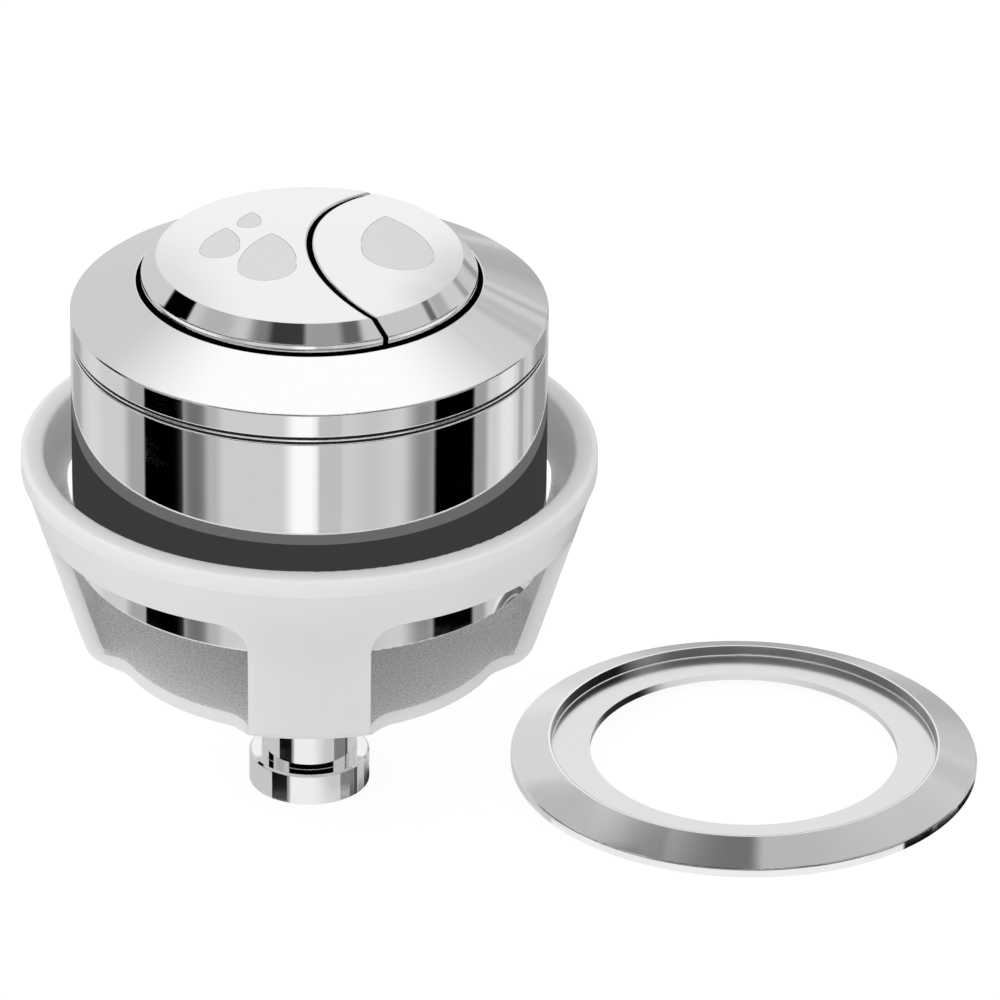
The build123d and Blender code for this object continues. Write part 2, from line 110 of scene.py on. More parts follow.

# The trim ring's painted reflection on its bevel: start, end and the tone after them, in degrees round from
# the front

BEVEL_PAINTED_REFLECTION = ((-52.0, -5.0, 0.42), (-2.0, 3.0, 0.68), (12.0, 75.0, 0.97))
BEVEL_PAINTED_BACK = (140.0, 168.0, 0.74)
BEVEL_WAVER = 3.0

# The trim ring's recess: its painted dark reflection and that part's fade in degrees, greys of painted
# shade, the floor's painted shade and roughness

RECESS_PAINTED_DARK = -129.0
RECESS_PAINTED_DARK_FADE = (25.0, 10.0)
RECESS_PAINTED_SHADE_GREYS = (0.42, 0.62)
RECESS_PAINTED_BLACK = 0.02
RECESS_FLOOR_PAINTED_SHADE = 0.87
RECESS_FLOOR_ROUGHNESS = 0.2
RECESS_WALL_ROUGHNESS = 0.4

# From a tone as the eye sees it to the light itself

EYE_POWER = 2.2


class Panel(NamedTuple):
    """A studio panel that only polished metal sees: its place, size and tone, with angles in degrees.

    Azimuth 0 is the front of the object and 90 is +X. Tone is the brightness as the eye sees it.
    Edge is the softness of its outline, and rim that of its top and foot where it differs."""

    azimuth: float
    half_width: float
    low: float
    high: float
    edge: float
    tone: float
    rim: float = 0.0


class ActuatorFinish(bpy.types.PropertyGroup):
    """Colours and surface values of the actuator's finishes."""

    chrome_colour: FloatVectorProperty(
        name="Chrome", description="Reflected colour of the polished chrome", subtype="COLOR",
        size=3, min=0, max=1, default=(0.9, 0.9, 0.905),
    )
    chrome_roughness: FloatProperty(
        name="Chrome roughness", description="Blur of the polished chrome", min=0, max=1, default=0.035,
    )
    trim_roughness: FloatProperty(
        name="Trim roughness", description="Blur of the trim ring's bevel", min=0, max=1, default=0.14,
    )
    mark_colour: FloatVectorProperty(
        name="Marks", description="Colour of the drop marks", subtype="COLOR",
        size=3, min=0, max=1, default=(0.76, 0.76, 0.76),
    )
    cage_colour: FloatVectorProperty(
        name="Cage", description="Colour of the cage's plastic", subtype="COLOR",
        size=3, min=0, max=1, default=(0.9, 0.9, 0.9),
    )


class ActuatorThread(bpy.types.PropertyGroup):
    """Sizes of the thread on the spigot's shank."""

    pitch: FloatProperty(
        name="Pitch", description="Rise of the thread in one turn", unit="LENGTH",
        default=1.0 * millimetre,
    )
    depth: FloatProperty(
        name="Depth", description="Height of the thread over the shank", unit="LENGTH",
        default=0.45 * millimetre,
    )
    steps: IntProperty(
        name="Steps", description="Points in one turn of the thread", min=16, default=72,
    )


class ActuatorStudio(bpy.types.PropertyGroup):
    """Camera, lamps and floor."""

    elevation: FloatProperty(
        name="Elevation", description="Angle at which the camera looks down", subtype="ANGLE",
        default=math.radians(27.8),
    )
    distance: FloatProperty(
        name="Distance", description="From the camera to the point that it looks at", unit="LENGTH",
        default=1.3733,
    )
    aim_height: FloatProperty(
        name="Aim height", description="Height on the drum's axis that the camera looks at",
        unit="LENGTH", default=48.2 * millimetre,
    )
    shift: FloatProperty(
        name="Shift", description="Sideways shift that takes in the trim ring", default=0.1906,
    )
    lens: FloatProperty(
        name="Lens", description="Focal length of the camera in millimetres", default=324.0,
    )
    ambient: FloatProperty(
        name="Ambient", description="Soft light from all round", min=0, default=0.78,
    )
    key_power: FloatProperty(
        name="Key lamp", description="Power of the large soft lamp", subtype="POWER", default=9.0,
    )
    floor_width: FloatProperty(
        name="Floor", description="Width of the floor", unit="LENGTH", default=6.0,
    )
    lamp_width: FloatProperty(
        name="Key lamp width", description="Width of the large soft lamp", unit="LENGTH", default=1.4,
    )


def settings():
    """The three groups of settings, as kept on the scene."""
    scene = bpy.context.scene
    return scene.actuator_finish, scene.actuator_thread, scene.actuator_studio


# Node helpers

def link_or_set(tree, socket, value):
    """Feeds a socket from another socket, or writes a plain value into it."""
    if isinstance(value, bpy.types.NodeSocket):
        tree.links.new(value, socket)
    else:
        socket.default_value = value


def add_node(tree, kind, inputs=(), **choices):
    """A node of one kind with its choices and, by name or place, some of its inputs."""
    node = tree.nodes.new(kind)
    for key, value in choices.items():
        setattr(node, key, value)
    for name, value in dict(inputs).items():
        link_or_set(tree, node.inputs[name], value)
    return node


def calculate(tree, operation, *values):
    """The result of one step of arithmetic on sockets and numbers."""
    node = tree.nodes.new("ShaderNodeMath")
    node.operation = operation
    for socket, value in zip(node.inputs, values):
        link_or_set(tree, socket, value)
    return node.outputs[0]


def soft_step(tree, value, start, end):
    """Rises smoothly from 0 at start to 1 at end, or falls where start is the higher."""
    node = tree.nodes.new("ShaderNodeMapRange")
    node.interpolation_type = "SMOOTHSTEP"
    inputs = (value, min(start, end), max(start, end), float(start > end), float(start < end))
    for socket, number in zip(node.inputs, inputs):
        link_or_set(tree, socket, number)
    return node.outputs[0]


def blend_values(tree, mask, below, above):
    """Below where the mask is 0 and above where it is 1."""
    node = tree.nodes.new("ShaderNodeMix")
    node.data_type = "FLOAT"
    for socket, value in zip(node.inputs[:1] + node.inputs[2:4], (mask, below, above)):
        link_or_set(tree, socket, value)
    return node.outputs[0]


def noise(tree, scale, detail=3.0, roughness=0.5, stretch=(1.0, 1.0, 1.0)):
    """Noise in the object's own metres, in cells of about 1 / scale."""
    place = tree.nodes.new("ShaderNodeTexCoord")
    mapping = add_node(tree, "ShaderNodeMapping", {"Vector": place.outputs["Object"], "Scale": stretch})
    texture = add_node(
        tree, "ShaderNodeTexNoise",
        {"Vector": mapping.outputs[0], "Scale": scale, "Detail": detail, "Roughness": roughness},
    )
    return texture.outputs["Fac"]


def bump(tree, shader, height, distance, edge=0.0, where=None):
    """Raises a surface by a height map, over edges rounded for the light, all of them or a mask's."""
    node = add_node(tree, "ShaderNodeBump", {"Height": height, "Distance": distance})
    if edge:
        normal = add_node(tree, "ShaderNodeBevel", {"Radius": edge}, samples=4).outputs[0]
        if where is not None:
            sharp = add_node(tree, "ShaderNodeNewGeometry").outputs["Normal"]
            both = add_node(tree, "ShaderNodeMix", data_type="VECTOR")
            for index, value in ((0, where), (4, sharp), (5, normal)):
                link_or_set(tree, both.inputs[index], value)
            normal = both.outputs[1]
        tree.links.new(normal, node.inputs["Normal"])
    tree.links.new(node.outputs[0], shader.inputs["Normal"])


def object_axes(tree):
    """The X, Y and Z of a point of the object, in metres."""
    place = add_node(tree, "ShaderNodeTexCoord")
    return add_node(tree, "ShaderNodeSeparateXYZ", {"Vector": place.outputs["Object"]}).outputs


def distance_from(tree, axes, centre):
    """Distance of a point from an upright line through a centre, in metres."""
    squares = []
    for axis, place in zip(axes, centre):
        offset = calculate(tree, "SUBTRACT", axis, place)
        squares.append(calculate(tree, "MULTIPLY", offset, offset))
    return calculate(tree, "SQRT", calculate(tree, "ADD", *squares))


def tint(tree, mask, below, above):
    """One colour where the mask is 0 and another where it is 1."""
    node = tree.nodes.new("ShaderNodeMix")
    node.data_type = "RGBA"
    for index, value in ((0, mask), (6, below), (7, above)):
        if isinstance(value, bpy.types.NodeSocket):
            tree.links.new(value, node.inputs[index])
        else:
            node.inputs[index].default_value = value if index == 0 else (*value, 1.0)
    return node.outputs[2]


def mottle(tree, shader, pattern, least, most):
    """Lets the roughness wander between two values with a pattern."""
    tree.links.new(blend_values(tree, pattern, least, most), shader.inputs["Roughness"])


def new_material(name, colour, **sockets):
    """A material with a Principled shader and plain values on its own sockets."""
    material = bpy.data.materials.new(name)
    material.use_nodes = True
    shader = material.node_tree.nodes["Principled BSDF"]
    shader.inputs["Base Color"].default_value = (*colour, 1.0)
    for key, value in sockets.items():
        shader.inputs[key.replace("_", " ")].default_value = value
    return material, material.node_tree, shader


def dress(names, material):
    """Gives a material to some of the CAD pieces."""
    for name in names:
        slots = nodes[name].data.materials
        slots.clear()
        slots.append(material)


# Finishes

def scaled(colour, factor):
    """A colour made lighter or darker."""
    return tuple(factor * value for value in colour)


def wiping_marks(tree, shader, roughness):
    """Faint wiping marks in the shine of the chrome."""
    wiping = noise(tree, 90.0, 4.0, stretch=(1.0, 1.0, 3.0))
    mottle(tree, shader, soft_step(tree, wiping, 0.45, 0.75), 0.6 * roughness, 1.8 * roughness)


def ripple(tree, shader, **edges):
    """A trace of ripple in the chrome, over edges that may be rounded for the light."""
    bump(tree, shader, noise(tree, 40.0, 1.0), 0.004 * millimetre, **edges)


def polished_chrome(name, colour, roughness):
    """Mirror chrome with a trace of ripple in the plating and faint wiping marks."""
    material, tree, shader = new_material(name, colour, Metallic=1.0, Roughness=roughness)
    wiping_marks(tree, shader, roughness)
    ripple(tree, shader, edge=0.12 * millimetre)
    return material


def cap_chrome(name, colour, roughness):
    """The caps' chrome, with its rim and the slit's edges rounded and the marks' edges left crisp."""
    material, tree, shader = new_material(name, colour, Metallic=1.0, Roughness=roughness)
    axes = object_axes(tree)
    rim = soft_step(tree, distance_from(tree, axes, (0.0, 0.0)), *CAP_RIM)
    slit = calculate(tree, "SUBTRACT", distance_from(tree, axes, (SLIT_RADIUS, 0.0)), SLIT_RADIUS)
    near = soft_step(tree, calculate(tree, "ABSOLUTE", slit), *SLIT_EDGES)
    wiping_marks(tree, shader, roughness)
    ripple(tree, shader, edge=0.16 * millimetre, where=calculate(tree, "MAXIMUM", rim, near))
    return material


def turn_round(tree, axes, centre):
    """Degrees round an upright line, 0 at the front and positive towards +X, with a slight waver."""
    aside, back = (calculate(tree, "SUBTRACT", axis, place) for axis, place in zip(axes, centre))
    turned = calculate(tree, "ARCTAN2", aside, calculate(tree, "MULTIPLY", back, -1.0))
    waver = blend_values(tree, noise(tree, 50.0, 2.0), -BEVEL_WAVER, BEVEL_WAVER)
    return calculate(tree, "ADD", calculate(tree, "DEGREES", turned), waver)


def painted_bevel_reflection(tree, turned):
    """How bright the trim ring's bevel is painted, round from the front: a painted reflection."""
    tone = 1.0
    for start, end, after in BEVEL_PAINTED_REFLECTION:
        tone = blend_values(tree, soft_step(tree, turned, start, end), tone, after)
    start, end, after = BEVEL_PAINTED_BACK
    far = soft_step(tree, calculate(tree, "ABSOLUTE", turned), start, end)
    return blend_values(tree, far, tone, after)


def painted_recess_darkening(tree, colour, turned, hole):
    """The colour of the trim ring's recess wall and hole: painted shade clouded at random on the wall, and a
    painted dark reflection at one side.
    """
    aside = calculate(tree, "ABSOLUTE", calculate(tree, "SUBTRACT", turned, RECESS_PAINTED_DARK))
    dark = soft_step(tree, aside, *RECESS_PAINTED_DARK_FADE)
    greys = (scaled(colour, share) for share in RECESS_PAINTED_SHADE_GREYS)
    clouds = tint(tree, soft_step(tree, noise(tree, 45.0, 1.0), 0.4, 0.6), *greys)
    return tint(tree, dark, tint(tree, hole, clouds, colour), scaled(colour, RECESS_PAINTED_BLACK))


def trim_chrome(name, colour, polish, roughness, centre):
    """The trim ring's softer chrome: painted reflection shades the front of its bevel, and the recess and
    hole are dull, with painted shade.
    """
    material, tree, shader = new_material(name, colour, Metallic=1.0, Roughness=polish)
    axes = object_axes(tree)
    radius = distance_from(tree, axes, centre)
    turned = turn_round(tree, axes, centre)
    inner = soft_step(tree, radius, RECESS_RADIUS + 0.2 * millimetre, RECESS_RADIUS + 0.5 * millimetre)
    outer = soft_step(tree, radius, LIP_RADIUS - 0.05 * millimetre, LIP_RADIUS - 0.15 * millimetre)
    bevel = calculate(tree, "MULTIPLY", inner, outer)
    floor = calculate(tree, "LESS_THAN", radius, RECESS_RADIUS)
    hole = calculate(tree, "LESS_THAN", radius, HOLE_RADIUS)
    wall = calculate(tree, "COMPARE", radius, RECESS_RADIUS - 0.05 * millimetre, 0.17 * millimetre)
    low = calculate(tree, "LESS_THAN", axes[2], RECESS_FLOOR + 0.14 * millimetre)
    foot = calculate(tree, "MULTIPLY", low, wall)
    dull = calculate(tree, "MAXIMUM", wall, hole)
    # Painted reflection: the bevel's colour is set white, then darkened round its front and back.
    painted_bevel_tone = blend_values(tree, bevel, 1.0, painted_bevel_reflection(tree, turned))
    painted_bevel_tone = calculate(tree, "POWER", painted_bevel_tone, EYE_POWER)
    # Painted shade: the recess floor's colour is darkened.
    plating_with_painted_light = tint(tree, floor, colour, scaled(colour, RECESS_FLOOR_PAINTED_SHADE))
    plating_with_painted_light = tint(tree, bevel, plating_with_painted_light, (1.0, 1.0, 1.0))
    plating_with_painted_light = tint(tree, painted_bevel_tone, (0.0, 0.0, 0.0), plating_with_painted_light)
    # The recess wall and hole take the painted shade and dark reflection, all but the wall's foot.
    lining = tint(tree, foot, painted_recess_darkening(tree, colour, turned, hole), colour)
    tree.links.new(tint(tree, dull, plating_with_painted_light, lining), shader.inputs["Base Color"])
    satin = blend_values(tree, floor, polish, RECESS_FLOOR_ROUGHNESS)
    satin = blend_values(tree, bevel, satin, roughness)
    mottle(tree, shader, dull, satin, RECESS_WALL_ROUGHNESS)
    ripple(tree, shader)
    return material


def moulded_plastic(name, colour, roughness, glow, grain):
    """Injection-moulded plastic: a fine grain, slight flow clouds and some light let through."""
    material, tree, shader = new_material(
        name, colour, Roughness=roughness, Subsurface_Weight=glow, Subsurface_Scale=10.0 * millimetre,
        Subsurface_Radius=(1.0, 1.0, 1.0),
    )
    clouded = tint(tree, noise(tree, 60.0, 3.0), scaled(colour, 0.97), colour)
    tree.links.new(clouded, shader.inputs["Base Color"])
    mottle(tree, shader, noise(tree, 400.0, 2.0), 0.85 * roughness, 1.2 * roughness)
    bump(tree, shader, noise(tree, 3500.0, 2.0), grain, edge=0.35 * millimetre)
    return material


def paint_shade_inside(material, floor, top):
    """Gives a plastic cup a grey, speckled inside between two heights: painted shade."""
    tree = material.node_tree
    shader = tree.nodes["Principled BSDF"]
    axes = object_axes(tree)
    over_floor = calculate(tree, "GREATER_THAN", axes[2], floor - 0.05 * millimetre)
    under_top = soft_step(tree, axes[2], top + 2 * millimetre, top)
    wall = calculate(tree, "MULTIPLY_ADD", axes[2], CAGE_SLOPE, CAGE_BORE)
    inwards = calculate(tree, "LESS_THAN", distance_from(tree, axes, (0.0, 0.0)), wall)
    mask = calculate(tree, "MULTIPLY", inwards, calculate(tree, "MULTIPLY", over_floor, under_top))
    # Painted shade: a speckled grey over the cage's floor and its wall up to the windows.
    shade_speckle = soft_step(tree, noise(tree, 2600.0, 3.0, 0.7), 0.35, 0.7)
    grey = tint(tree, shade_speckle, *PAINTED_SHADE_GREYS)
    plain = shader.inputs["Base Color"].links[0].from_socket
    tree.links.new(tint(tree, mask, plain, grey), shader.inputs["Base Color"])


def satin_mark(name, colour):
    """The etched, satin grey of the drops on the caps."""
    material, tree, shader = new_material(name, colour, Roughness=0.45, Metallic=0.35)
    mottle(tree, shader, noise(tree, 1500.0, 3.0), 0.38, 0.52)
    bump(tree, shader, noise(tree, 6000.0, 2.0), 0.003 * millimetre)
    return material


def bright_steel(name, colour, roughness):
    """Zinc-plated steel with a small spangle and drawn streaks."""
    material, tree, shader = new_material(name, colour, Metallic=1.0, Roughness=roughness)
    place = add_node(tree, "ShaderNodeTexCoord").outputs["Object"]
    spangle = add_node(tree, "ShaderNodeTexVoronoi", {"Vector": place, "Scale": 900.0})
    mottle(tree, shader, spangle.outputs["Distance"], 0.7 * roughness, 1.4 * roughness)
    streaks = noise(tree, 2500.0, 3.0, stretch=(1.0, 1.0, 0.2))
    bump(tree, shader, streaks, 0.004 * millimetre, edge=0.1 * millimetre)
    return material


def soft_rubber(name, colour):
    """Black rubber with a matt, slightly dusty skin."""
    material, tree, shader = new_material(name, colour, Roughness=0.7)
    mottle(tree, shader, noise(tree, 800.0, 4.0), 0.6, 0.85)
    bump(tree, shader, noise(tree, 5000.0, 2.0), 0.01 * millimetre)
    return material


# Operators

class ACTUATOR_OT_polished_shells(bpy.types.Operator):
    """Dress the bezel, spacer, drum and spigot in polished chrome"""

    bl_idname = "actuator.polished_shells"
    bl_label = "Polished shells"

    def execute(self, context):
        finish = settings()[0]
        chrome = polished_chrome("polished_chrome", finish.chrome_colour, finish.chrome_roughness)
        dress(POLISHED, chrome)
        return {"FINISHED"}


class ACTUATOR_OT_button_caps(bpy.types.Operator):
    """Dress the two button caps in polished chrome"""

    bl_idname = "actuator.button_caps"
    bl_label = "Button caps"

    def execute(self, context):
        finish = settings()[0]
        dress(CAPS, cap_chrome("cap_chrome", finish.chrome_colour, finish.chrome_roughness))
        return {"FINISHED"}


class ACTUATOR_OT_drop_marks(bpy.types.Operator):
    """Dress the drops let into the caps in satin grey"""

    bl_idname = "actuator.drop_marks"
    bl_label = "Drop marks"

    def execute(self, context):
        dress(MARKS, satin_mark("mark_grey", settings()[0].mark_colour))
        return {"FINISHED"}


class ACTUATOR_OT_mounting_cage(bpy.types.Operator):
    """Dress the cage in white moulded plastic, with painted shade inside"""

    bl_idname = "actuator.mounting_cage"
    bl_label = "Mounting cage"

    def execute(self, context):
        colour = settings()[0].cage_colour
        plastic = moulded_plastic("cage_plastic", colour, roughness=0.32, glow=0.6, grain=0.006 * millimetre)
        paint_shade_inside(plastic, CAGE_FLOOR, CAGE_WINDOW_TOP)
        dress(["cage"], plastic)
        return {"FINISHED"}


class ACTUATOR_OT_guide_parts(bpy.types.Operator):
    """Dress the guide body, carriers and tube in plain moulded plastic"""

    bl_idname = "actuator.guide_parts"
    bl_label = "Guide parts"

    def execute(self, context):
        colour = (0.78, 0.78, 0.75)
        plastic = moulded_plastic("guide_plastic", colour, roughness=0.45, glow=0.1, grain=0.01 * millimetre)
        dress(GUIDES, plastic)
        return {"FINISHED"}


class ACTUATOR_OT_steel_parts(bpy.types.Operator):
    """Dress the nuts, washers, screws and rod in bright steel"""

    bl_idname = "actuator.steel_parts"
    bl_label = "Steel parts"

    def execute(self, context):
        dress(STEEL, bright_steel("zinc_steel", (0.62, 0.62, 0.63), roughness=0.24))
        return {"FINISHED"}


class ACTUATOR_OT_return_springs(bpy.types.Operator):
    """Put steel copies of the two return springs in their place, held to the housing"""

    bl_idname = "actuator.return_springs"
    bl_label = "Return springs"

    def execute(self, context):
        steel = bright_steel("spring_steel", (0.55, 0.55, 0.56), roughness=0.18)
        for joint in frame["record"]["behaviour"]["joints"]:
            (spring,) = joint["deforming_nodes"]
            node, foot = nodes[spring["node"]], spring["fixed_end_z_m"]
            coil = bpy.data.objects.new(spring["node"] + "_coil", node.data.copy())
            coil.matrix_world = node.matrix_world.copy()
            coil.data.materials.clear()
            coil.data.materials.append(steel)
            context.scene.collection.objects.link(coil)
            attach(coil, "housing")
            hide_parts(spring["node"])
            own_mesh(coil)
        return {"FINISHED"}


class ACTUATOR_OT_spigot_thread(bpy.types.Operator):
    """Wind the thread round the spigot's shank between the cage's nut and the drum's"""

    bl_idname = "actuator.spigot_thread"
    bl_label = "Spigot thread"

    def execute(self, context):
        finish, thread, _ = settings()
        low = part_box("cage_nut")[1][2]
        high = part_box("support_nut")[0][2]
        mesh = bpy.data.meshes.new("spigot_thread")
        ridge = bmesh.new()
        turns = (high - low) / thread.pitch - 1.0
        rows = []
        for step in range(round(turns * thread.steps) + 1):
            angle = 2 * math.pi * step / thread.steps
            rise = low + thread.pitch * (step / thread.steps + 0.5)
            row = []
            for out, up in THREAD_SECTION:
                radius = SHANK_RADIUS + out * thread.depth
                place = (radius * math.cos(angle), radius * math.sin(angle), rise + up * thread.pitch)
                row.append(ridge.verts.new(place))
            rows.append(row)
        for first, second in zip(rows, rows[1:]):
            for side in range(len(first)):
                after = (side + 1) % len(first)
                ridge.faces.new((first[side], second[side], second[after], first[after]))
        for row, order in ((rows[0], 1), (rows[-1], -1)):
            ridge.faces.new(row[::order])
        bmesh.ops.recalc_face_normals(ridge, faces=ridge.faces)
        ridge.to_mesh(mesh)
        ridge.free()
        mesh.materials.append(bright_steel("thread_steel", finish.chrome_colour, roughness=0.16))
        thread_piece = bpy.data.objects.new("spigot_thread", mesh)
        context.scene.collection.objects.link(thread_piece)
        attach(thread_piece, "housing")
        return {"FINISHED"}


class ACTUATOR_OT_seals(bpy.types.Operator):
    """Dress the ring seal and the gasket in rubber"""

    bl_idname = "actuator.seals"
    bl_label = "Seals"

    def execute(self, context):
        dress(SEALS, soft_rubber("black_rubber", (0.03, 0.03, 0.03)))
        return {"FINISHED"}


class ACTUATOR_OT_trim_ring(bpy.types.Operator):
    """Dress the trim ring in soft chrome with a dull recess, painted reflection on its bevel and painted
    shade in its recess
    """

    bl_idname = "actuator.trim_ring"
    bl_label = "Trim ring"

    def execute(self, context):
        finish = settings()[0]
        low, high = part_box("trim_ring")
        centre = ((low + high) / 2).xy
        roughness = (finish.chrome_roughness, finish.trim_roughness)
        dress(["trim_ring"], trim_chrome("trim_chrome", finish.chrome_colour, *roughness, centre))
        return {"FINISHED"}


class ACTUATOR_OT_studio(bpy.types.Operator):
    """Set up the floor, the card of painted reflection, the lamps, the surroundings and the camera"""

    bl_idname = "actuator.studio"
    bl_label = "Studio"

    def execute(self, context):
        studio = settings()[2]
        set_floor(studio)
        set_painted_reflection_card()
        set_lamps(studio)
        set_world(studio)
        set_camera(studio)
        context.scene.view_settings.view_transform = "Standard"
        return {"FINISHED"}


# Studio

# The white tent's back, tones and heights in degrees over which it brightens to the zenith

BACK_TONE = 0.83
ZENITH_TONE = 1.04
ZENITH_RISE = (35.0, 68.0)

# Soft clouds at the tent's right: how much they darken it, and where, in degrees round and up

CLOUD_TONE = 0.09
CLOUD_TURN = (115.0, 150.0)
CLOUD_HEIGHT = (52.0, 34.0)

# A glowing grey card round the drum's foot, a painted reflection of the cage ring's shade in the chrome:
# inset from the cage, widths, drop in metres, and tones

FLAG_INSET = 0.0009
FLAG_WIDTH = 0.0032
FLAG_TAPER = 0.0026
FLAG_DROP = 0.010
PAINTED_REFLECTION_TONES = (("painted_reflection_grey", 0.43), ("painted_reflection_black", 0.25))
FLAG_STEPS = 128

# The key lamp's place in metres

LAMP_PLACE = (-0.9, -0.8, 1.6)

# The floor's paper, and the light of its own that the camera sees

PAPER_TONE = 0.9
PAPER_GLOW = 1.1
PAPER_GLOW_SHARE = 0.8

# Panels over the tent, each one over those before it

PANELS = (
    # Front of the tent: below, round the foot, a dark band, the wall and a shadow over the spigot
    Panel(azimuth=0.0, half_width=113.0, low=-95, high=-36, edge=2.0, tone=0.96),
    Panel(azimuth=0.0, half_width=113.0, low=-22, high=-8, edge=2.0, tone=0.97),
    Panel(azimuth=0.0, half_width=112.0, low=-5, high=13, edge=3.0, tone=0.12),
    Panel(azimuth=0.0, half_width=105.0, low=17, high=62, edge=4.0, tone=0.8),
    Panel(azimuth=5.0, half_width=55.0, low=25, high=34, edge=2.0, tone=0.03),
    # In the caps' rims and the bezel's cone, and last in what lies flat
    Panel(azimuth=-106.5, half_width=9.5, low=5, high=33, edge=1.5, tone=0.02),
    Panel(azimuth=-76.0, half_width=12.0, low=24, high=48, edge=6.0, tone=0.72),
    Panel(azimuth=-41.0, half_width=8.0, low=36, high=58, edge=7.0, tone=0.5),
    Panel(azimuth=-19.0, half_width=16.0, low=40, high=58, edge=5.0, tone=0.24),
    Panel(azimuth=14.0, half_width=16.0, low=40, high=58, edge=4.0, tone=0.62),
    Panel(azimuth=36.0, half_width=8.0, low=36, high=56, edge=4.0, tone=0.4),
    Panel(azimuth=98.5, half_width=2.5, low=15, high=34, edge=1.5, tone=0.42),
    Panel(azimuth=107.0, half_width=5.0, low=15, high=30, edge=2.5, tone=0.7),
    Panel(azimuth=129.0, half_width=2.5, low=5, high=20, edge=2.0, tone=0.64),
    Panel(azimuth=148.0, half_width=3.0, low=-12, high=8, edge=2.0, tone=0.62),
    Panel(azimuth=166.0, half_width=9.0, low=-4, high=10, edge=5.0, tone=0.7),
    Panel(azimuth=180.0, half_width=11.0, low=4, high=50, edge=5.0, tone=0.985),
    # In the upright walls of the bezel and the drum
    Panel(azimuth=-153.0, half_width=9.0, low=-34, high=-24, edge=5.0, tone=0.66),
    Panel(azimuth=-128.0, half_width=7.0, low=-34, high=-24, edge=4.0, tone=0.87),
    Panel(azimuth=-92.0, half_width=7.0, low=-34, high=-22, edge=4.0, tone=0.66),
    Panel(azimuth=-75.0, half_width=11.5, low=-34, high=-22, edge=1.0, tone=0.01),
    Panel(azimuth=-57.0, half_width=7.0, low=-34, high=-22, edge=6.0, tone=0.45),
    Panel(azimuth=-47.0, half_width=3.0, low=-34, high=-22, edge=3.0, tone=0.72),
    Panel(azimuth=-3.0, half_width=7.0, low=-34, high=-22, edge=4.0, tone=1.03),
    Panel(azimuth=10.0, half_width=5.5, low=-34, high=-22, edge=1.0, tone=0.77),
    Panel(azimuth=30.0, half_width=6.0, low=-34, high=-22, edge=6.0, tone=0.79),
    Panel(azimuth=57.0, half_width=7.0, low=-34, high=-22, edge=6.0, tone=0.55),
    Panel(azimuth=75.0, half_width=12.0, low=-34, high=-22, edge=1.5, tone=0.01),
    Panel(azimuth=91.0, half_width=4.5, low=-34, high=-22, edge=2.5, tone=0.63),
    Panel(azimuth=111.0, half_width=6.0, low=-34, high=-22, edge=4.0, tone=0.93),
    Panel(azimuth=124.0, half_width=2.5, low=-34, high=-22, edge=1.5, tone=0.68),
    Panel(azimuth=150.0, half_width=12.0, low=-34, high=-24, edge=5.0, tone=0.58),
    # In the spigot's collar
    Panel(azimuth=-2.0, half_width=110.0, low=-36, high=-29.1, edge=0.1, tone=0.97),
    Panel(azimuth=-130.0, half_width=53.0, low=-29.76, high=-29.1, edge=3.0, tone=0.8, rim=0.05),
    Panel(azimuth=-60.0, half_width=17.0, low=-29.76, high=-29.1, edge=0.5, tone=0.05, rim=0.05),
    Panel(azimuth=-41.0, half_width=2.5, low=-29.76, high=-29.1, edge=4.0, tone=0.5, rim=0.05),
    Panel(azimuth=50.0, half_width=25.0, low=-29.76, high=-29.1, edge=22.0, tone=0.8, rim=0.05),
    Panel(azimuth=79.0, half_width=17.0, low=-29.76, high=-29.1, edge=1.5, tone=0.5, rim=0.05),
    Panel(azimuth=101.0, half_width=5.0, low=-29.76, high=-29.1, edge=1.0, tone=0.33, rim=0.05),
    Panel(azimuth=143.0, half_width=37.0, low=-29.76, high=-29.1, edge=2.0, tone=0.8, rim=0.05),
    # In the trim ring's lip
    Panel(azimuth=100.0, half_width=15.0, low=-36, high=-29.72, edge=1.5, tone=0.03, rim=0.03),
    Panel(azimuth=122.0, half_width=12.0, low=-36, high=-29.64, edge=1.5, tone=0.03, rim=0.03),
    Panel(azimuth=158.0, half_width=27.0, low=-36, high=-29.51, edge=1.5, tone=0.03, rim=0.03),
)


def set_painted_reflection_card():
    """A glowing grey card that only the chrome sees, laid on the cage's ring and down inside it: a painted
    reflection of the ring's shade in the drum.
    """
    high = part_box("cage")[1]
    top = high[2] + 0.05 * millimetre
    outer = high[0] - FLAG_INSET
    inner = outer - FLAG_WIDTH
    turns = [2 * math.pi * step / FLAG_STEPS for step in range(FLAG_STEPS)]
    card = bmesh.new()
    rows = []
    for radius, height in ((outer, top), (inner, top), (inner - FLAG_TAPER, top - FLAG_DROP)):
        places = [(radius * math.cos(turn), radius * math.sin(turn), height) for turn in turns]
        rows.append([card.verts.new(place) for place in places])
    for band, (above, below) in enumerate(zip(rows, rows[1:])):
        for step in range(FLAG_STEPS):
            after = (step + 1) % FLAG_STEPS
            face = card.faces.new((above[step], above[after], below[after], below[step]))
            face.material_index = band
    mesh = bpy.data.meshes.new("painted_reflection_card")
    card.to_mesh(mesh)
    card.free()
    for name, tone in PAINTED_REFLECTION_TONES:
        mesh.materials.append(card_material(name, tone))
    place_card(bpy.data.objects.new("painted_reflection_card", mesh))


def bare_material(name):
    """A material with no shader yet, its nodes and the socket that shows on the surface."""
    material = bpy.data.materials.new(name)
    material.use_nodes = True
    tree = material.node_tree
    tree.nodes.remove(tree.nodes["Principled BSDF"])
    return material, tree, tree.nodes["Material Output"].inputs["Surface"]


